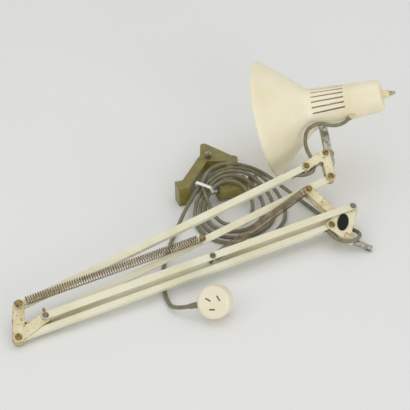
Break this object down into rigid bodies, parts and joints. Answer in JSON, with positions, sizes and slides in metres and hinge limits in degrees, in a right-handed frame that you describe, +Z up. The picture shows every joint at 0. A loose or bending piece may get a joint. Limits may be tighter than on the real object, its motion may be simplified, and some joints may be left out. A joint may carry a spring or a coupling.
{
  "type": "clamp lamp",
  "caption": "Folded desk lamp with two sprung parallel-link arms, a cone shade with a push switch, a bundled mains cord with a round plug, and a loose screw clamp.",
  "frame": {"origin": "middle of the lamp and clamp's box in plan, on the surface they lie on", "axes": "+X along the folded lower arm from elbow to base, +Z up from the surface"},
  "size_m": [0.5982, 0.351, 0.1562],
  "materials": {
    "cream_paint": "satin",
    "bar_paint": "satin",
    "bracket_paint": "satin",
    "plated_steel": "polished",
    "rivet_steel": "brushed",
    "brass": "worn",
    "rust": "matt",
    "spring_wire": "satin",
    "badge_black": "gloss",
    "cord_sheath": "matt",
    "white_plastic": "gloss",
    "blade_brass": "polished",
    "cast_olive": "painted",
    "dark_plastic": "matt",
    "bulb": "clear",
    "button": "brushed"
  },
  "bodies": {
    "base": {"base_bracket": "bracket_paint", "base_neck": "bracket_paint", "spigot": "plated_steel", "badge": "badge_black", "base_screw": "brass", "base_nut": "plated_steel", "lower_spring_post": "brass", "mains_lead": "cord_sheath", "cord_bundle": "cord_sheath", "cord_tail": "cord_sheath", "cord_tie": "white_plastic", "plug_body": "white_plastic", "plug_blades": "blade_brass", "plug_sleeve": "cord_sheath", "clamp_frame": "cast_olive", "clamp_lock_screw": "plated_steel"},
    "clamp_pad": {"clamp_pad": "cast_olive"},
    "clamp_screw": {"clamp_screw": "plated_steel", "clamp_knob": "plated_steel"},
    "lower_strips": {"lower_front_strip": "bar_paint", "lower_back_strip": "bar_paint", "arm_rivets": "rivet_steel", "strip_spring_bolt": "rivet_steel", "strip_spacers": "rivet_steel"},
    "lower_tube": {"lower_tube": "bar_paint"},
    "elbow": {"elbow_bracket": "bracket_paint", "elbow_screws": "brass", "elbow_nuts": "plated_steel", "elbow_stop": "rust", "elbow_cord": "cord_sheath"},
    "upper_link": {"upper_link": "bar_paint", "upper_spring_post": "brass", "link_bushes": "rivet_steel"},
    "head": {"head_bracket": "bracket_paint", "head_screws": "brass", "head_nuts": "plated_steel", "arm_cord": "cord_sheath"},
    "upper_tube": {"upper_tube": "bar_paint"},
    "stem": {"stem": "rivet_steel", "head_cord": "cord_sheath"},
    "shade": {"shade": "cream_paint", "swivel_pin": "plated_steel", "swivel_washer": "rivet_steel", "cord_grommet": "cream_paint", "lampholder": "dark_plastic", "bulb_cap": "brass", "bulb_glass": "bulb", "switch_collar": "cream_paint", "shade_cord": "cord_sheath"},
    "switch_button": {"switch_button": "button"},
    "upper_spring": {"upper_spring": "spring_wire"},
    "lower_spring": {"lower_spring": "spring_wire"}
  },
  "joints": [
    {"name": "lower_swing", "type": "hinge", "parent": "base", "child": "lower_strips", "pos_m": [0.17695, -0.09703, 0.02988], "axis": [0.0292, 0.4183, -0.9078], "range_deg": [0, 34]},
    {"name": "lower_tube_swing", "type": "hinge", "parent": "base", "child": "lower_tube", "pos_m": [0.13786, -0.10918, 0.02303], "axis": [0.0292, 0.4183, -0.9078], "range_deg": [0, 34]},
    {"name": "elbow_level", "type": "hinge", "parent": "lower_strips", "child": "elbow", "pos_m": [-0.25283, -0.09703, 0.01607], "axis": [0.0292, 0.4183, -0.9078], "range_deg": [-34, 0]},
    {"name": "upper_swing", "type": "hinge", "parent": "elbow", "child": "upper_link", "pos_m": [-0.25283, -0.09703, 0.01607], "axis": [-0.0292, -0.4183, 0.9078], "range_deg": [0, 100]},
    {"name": "head_level", "type": "hinge", "parent": "upper_link", "child": "head", "pos_m": [0.17294, -0.04876, 0.052], "axis": [-0.0292, -0.4183, 0.9078], "range_deg": [-100, 0]},
    {"name": "upper_tube_swing", "type": "hinge", "parent": "head", "child": "upper_tube", "pos_m": [0.14896, -0.02521, 0.06208], "axis": [-0.0292, -0.4183, 0.9078], "range_deg": [0, 100], "deforming": ["arm_cord"]},
    {"name": "shade_tilt", "type": "hinge", "parent": "head", "child": "stem", "pos_m": [0.18361, -0.01667, 0.06713], "axis": [-0.0292, -0.4183, 0.9078], "range_deg": [-35, 3], "deforming": ["head_cord"]},
    {"name": "shade_swivel", "type": "hinge", "parent": "stem", "child": "shade", "pos_m": [0.21288, 0.04835, 0.09803], "axis": [0.3077, 0.8603, 0.4063], "range_deg": [-30, 90], "deforming": ["shade_cord"]},
    {"name": "switch_push", "type": "slide", "parent": "shade", "child": "switch_button", "axis": [-0.8037, 0.5289, -0.2728], "range_m": [0, 0.003], "stiffness_N_per_m": 300},
    {"name": "upper_spring_swing", "type": "hinge", "parent": "elbow", "child": "upper_spring", "pos_m": [-0.27709, -0.0774, 0.03464], "axis": [-0.0292, -0.4183, 0.9078], "range_deg": [0, 103], "deforming": ["upper_spring"]},
    {"name": "lower_spring_swing", "type": "hinge", "parent": "base", "child": "lower_spring", "pos_m": [0.13405, -0.05938, 0.05439], "axis": [0.0292, 0.4183, -0.9078], "range_deg": [0, 44], "deforming": ["lower_spring"]},
    {"name": "clamp_travel", "type": "slide", "parent": "base", "child": "clamp_pad", "axis": [0.9885, -0.1513, 0], "range_m": [-0.0078, 0.0055]},
    {"name": "clamp_spin", "type": "hinge", "parent": "clamp_pad", "child": "clamp_screw", "pos_m": [0.074, 0.045, 0.014], "axis": [0.9885, -0.1513, 0], "range_deg": [-1410, 996]}
  ],
  "couplings": [
    {"joint": "lower_tube_swing", "follows": "lower_swing", "ratio": 1},
    {"joint": "elbow_level", "follows": "lower_swing", "ratio": -1},
    {"joint": "lower_spring_swing", "follows": "lower_swing", "ratio": 1.2926},
    {"joint": "head_level", "follows": "upper_swing", "ratio": -1},
    {"joint": "upper_tube_swing", "follows": "upper_swing", "ratio": 1},
    {"joint": "upper_spring_swing", "follows": "upper_swing", "ratio": 1.0224},
    {"joint": "clamp_spin", "follows": "clamp_travel", "rad_per_m": 3141.6}
  ]
}
